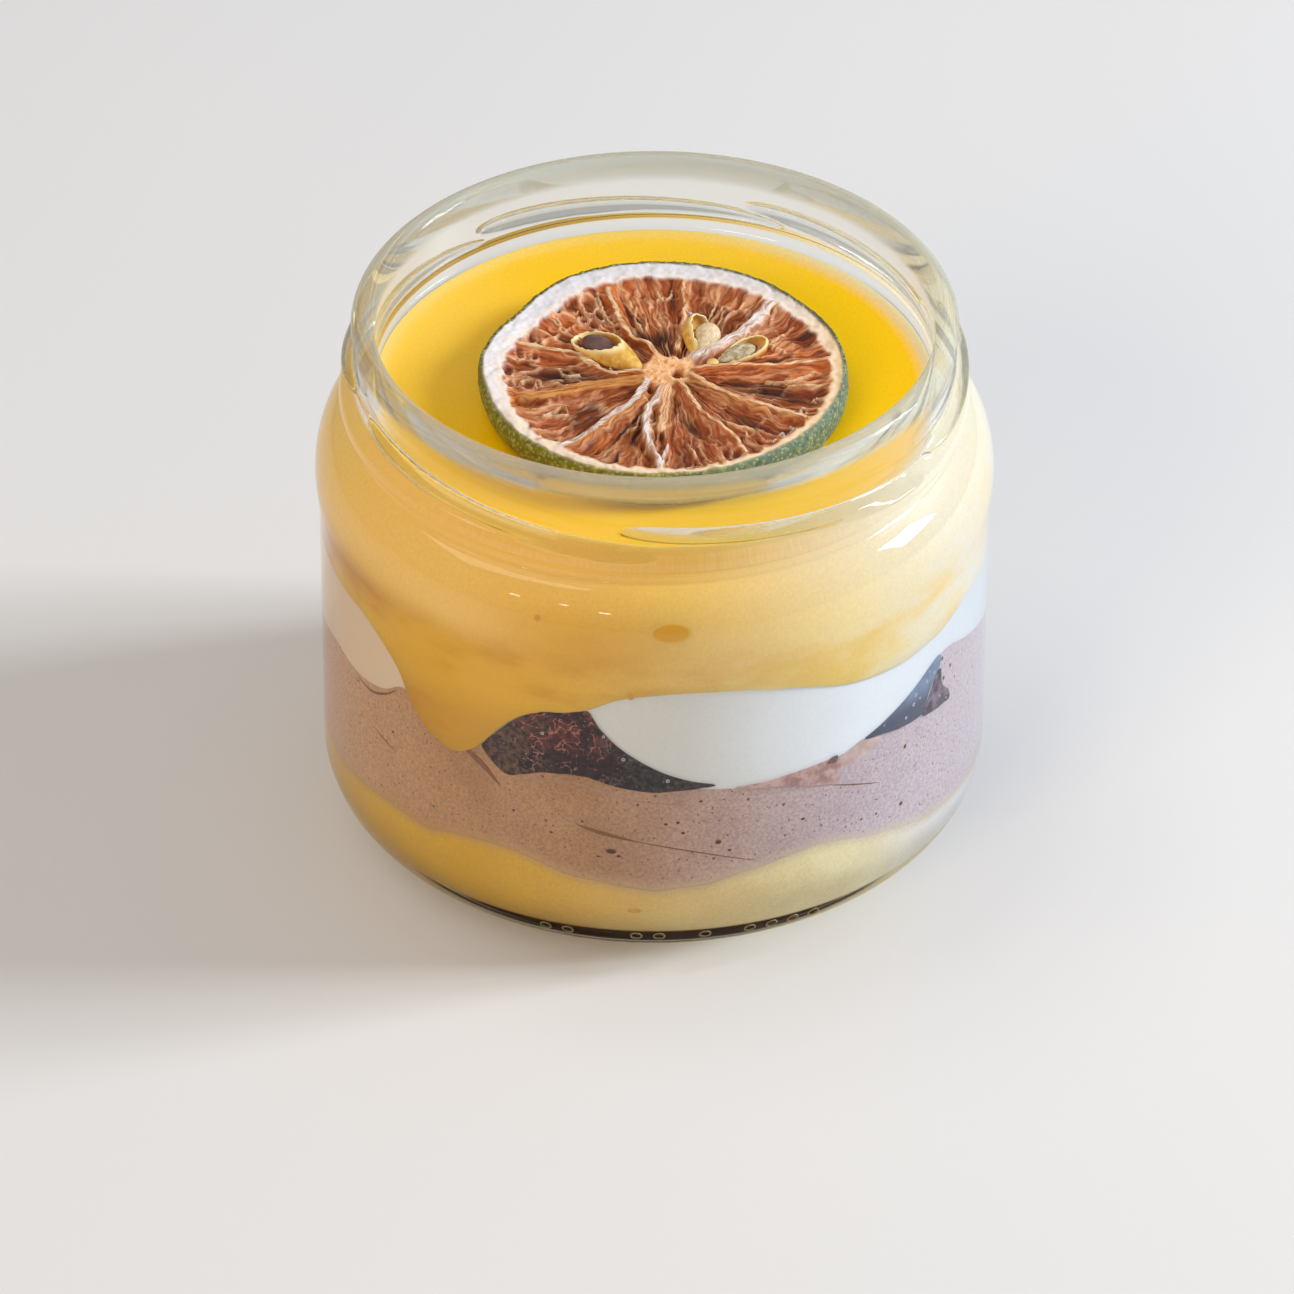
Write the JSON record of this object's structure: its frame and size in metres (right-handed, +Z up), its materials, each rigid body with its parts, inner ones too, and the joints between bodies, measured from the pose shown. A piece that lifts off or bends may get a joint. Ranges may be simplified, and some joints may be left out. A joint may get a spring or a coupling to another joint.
{
  "type": "lemon mousse in a glass jar",
  "caption": "Layered lemon and berry mousse in a squat clear glass jar with a threaded neck, topped with yellow curd and a dried lime slice.",
  "frame": {"origin": "centre of the jar's base, on the surface it stands on", "axes": "+Z up through the jar's mouth, -Y towards the front that the picture shows, +X to the right seen from there"},
  "size_m": [0.0886, 0.0886, 0.074],
  "materials": {
    "clear_glass": "gloss, clear with a faint green edge",
    "lemon_curd": "smooth satin curd, saturated yellow on top, paler against the glass",
    "lemon_cream": "smooth satin",
    "mauve_mousse": "matte with fine pores",
    "whipped_cream": "smooth matte",
    "dark_berry": "wet skin with a greyish bloom",
    "pink_berry": "damp and fibrous",
    "dried_lime": "dry brown flesh, pale pith, pitted green rind"
  },
  "bodies": {
    "root": {"jar": "clear_glass", "lemon_base": "lemon_cream", "berry_mousse": "mauve_mousse", "white_cream": "whipped_cream", "lemon_mousse": "lemon_curd", "berry_front": "dark_berry", "berry_right": "dark_berry", "berry_pink": "pink_berry", "berry_side": "dark_berry", "berry_back": "dark_berry", "lime_slice": "dried_lime"}
  },
  "joints": []
}
